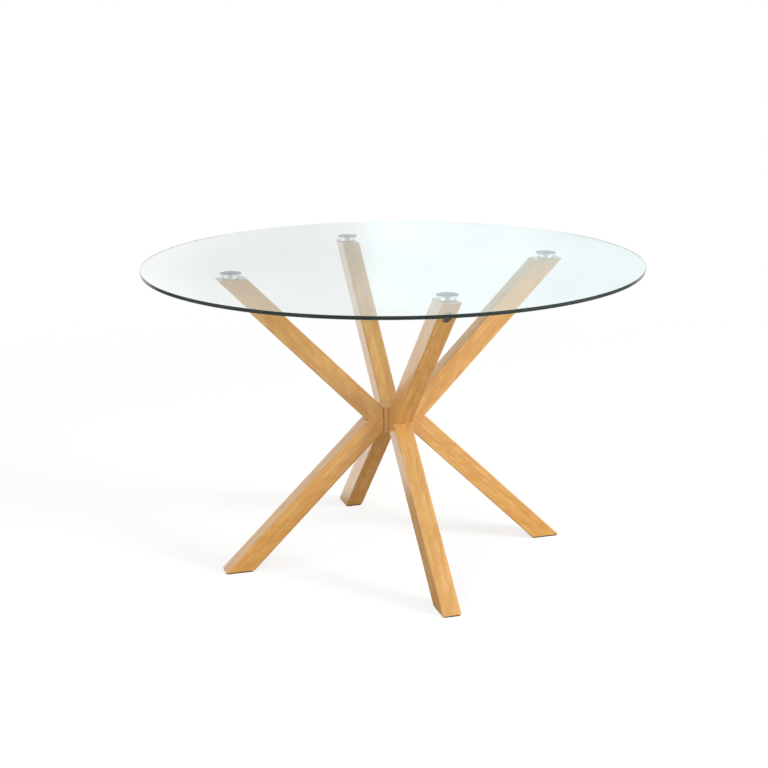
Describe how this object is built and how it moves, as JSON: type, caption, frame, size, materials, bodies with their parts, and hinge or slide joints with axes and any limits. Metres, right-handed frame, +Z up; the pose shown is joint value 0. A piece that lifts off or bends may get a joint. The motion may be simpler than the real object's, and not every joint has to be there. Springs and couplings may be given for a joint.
{
  "type": "round table",
  "caption": "Round glass-topped dining table on V-shaped oak legs that meet nose to nose at a central hub.",
  "frame": {"origin": "on the floor under the middle of the glass", "axes": "+Z up through the middle of the glass, +X along the right leg, -Y along the front leg"},
  "size_m": [1.1998, 1.2, 0.74],
  "materials": {
    "clear_glass": "clear float glass, flat polished edge",
    "oak": "solid oak, clear matt lacquer",
    "polished_steel": "polished stainless steel",
    "brown_steel": "brown powder coat",
    "zinc_steel": "zinc-plated steel",
    "beech": "raw beech",
    "brown_nylon": "moulded nylon glide"
  },
  "bodies": {
    "root": {"glass_top": "clear_glass", "glass_disc_right": "polished_steel", "collar_right": "polished_steel", "leg_upper_right": "oak", "leg_lower_right": "oak", "foot_pad_right": "brown_nylon", "glass_disc_back": "polished_steel", "collar_back": "polished_steel", "leg_upper_back": "oak", "leg_lower_back": "oak", "foot_pad_back": "brown_nylon", "glass_disc_left": "polished_steel", "collar_left": "polished_steel", "leg_upper_left": "oak", "leg_lower_left": "oak", "foot_pad_left": "brown_nylon", "glass_disc_front": "polished_steel", "collar_front": "polished_steel", "leg_upper_front": "oak", "leg_lower_front": "oak", "foot_pad_front": "brown_nylon", "fixing_bolts": "zinc_steel", "mitre_dowels": "beech", "hub_core": "brown_steel", "hub_cap_top": "oak", "hub_cap_bottom": "oak", "hub_bolts_upper": "zinc_steel", "hub_inserts_upper": "zinc_steel", "hub_bolts_lower": "zinc_steel", "hub_inserts_lower": "zinc_steel"}
  },
  "joints": []
}
